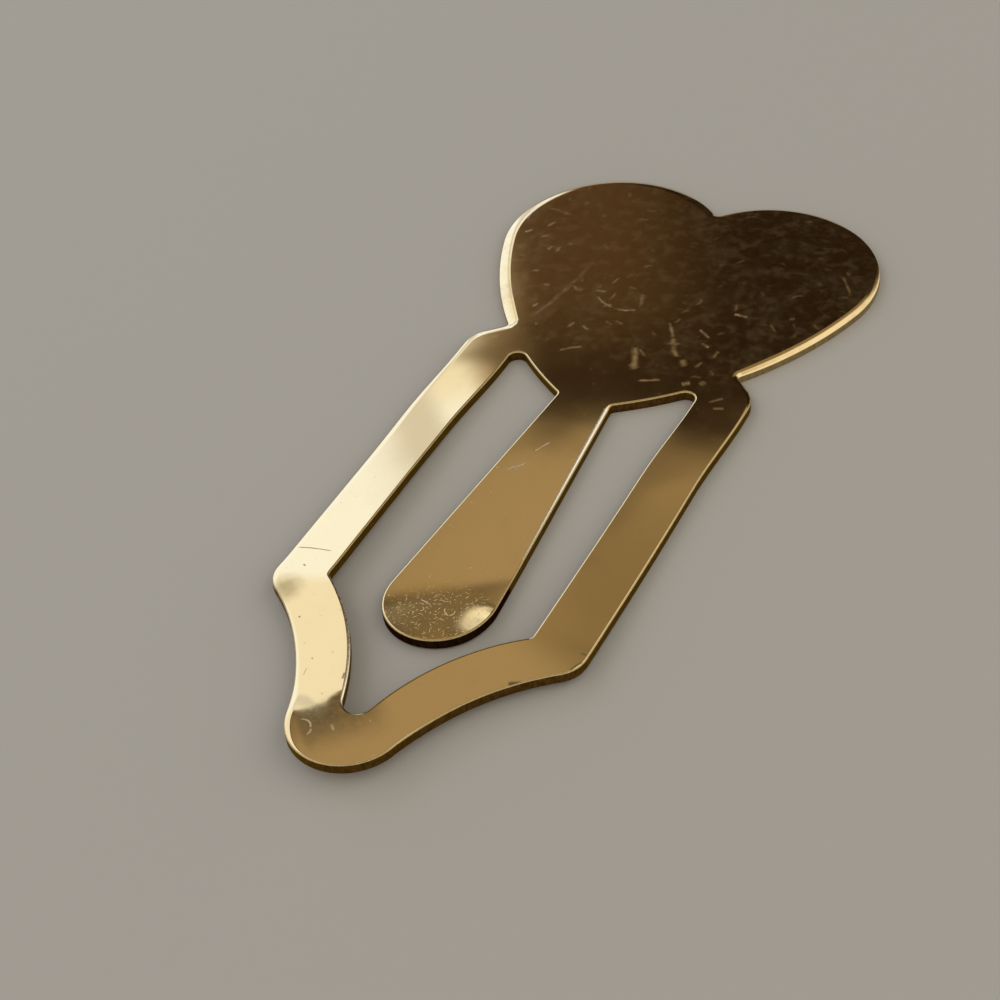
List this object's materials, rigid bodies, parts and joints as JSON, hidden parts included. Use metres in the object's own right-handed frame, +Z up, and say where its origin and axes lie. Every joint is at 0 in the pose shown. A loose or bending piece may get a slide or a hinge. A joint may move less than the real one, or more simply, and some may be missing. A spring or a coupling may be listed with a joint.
{
  "type": "page clip bookmark",
  "caption": "Flat stamped brass page clip with a heart head, side arms joined by an ogee toe, and a sprung paddle tongue that grips a page against the frame.",
  "frame": {"origin": "middle of the clip's length and width, on the plane that its flat back rests on", "axes": "+Y along the clip from the toe to the heart, +Z up through the sheet, +X across the clip"},
  "size_m": [0.0232, 0.05, 0.0013],
  "materials": {
    "brass": "bare polished sheet, lightly scratched, with rolled edges"
  },
  "bodies": {
    "heart": {"heart": "brass"},
    "frame": {"left_arm": "brass", "right_arm": "brass", "toe": "brass"},
    "tongue": {"tongue": "brass"}
  },
  "joints": [
    {"name": "tongue_flex", "type": "hinge", "parent": "heart", "child": "tongue", "pos_m": [0, 0.00084, 0.0003], "axis": [1, 0, 0], "range_deg": [-5, 5], "stiffness_Nm_per_rad": 0.71},
    {"name": "frame_flex", "type": "hinge", "parent": "heart", "child": "frame", "pos_m": [0, 0.00225, 0.0003], "axis": [1, 0, 0], "range_deg": [-5, 5], "stiffness_Nm_per_rad": 0.8}
  ]
}
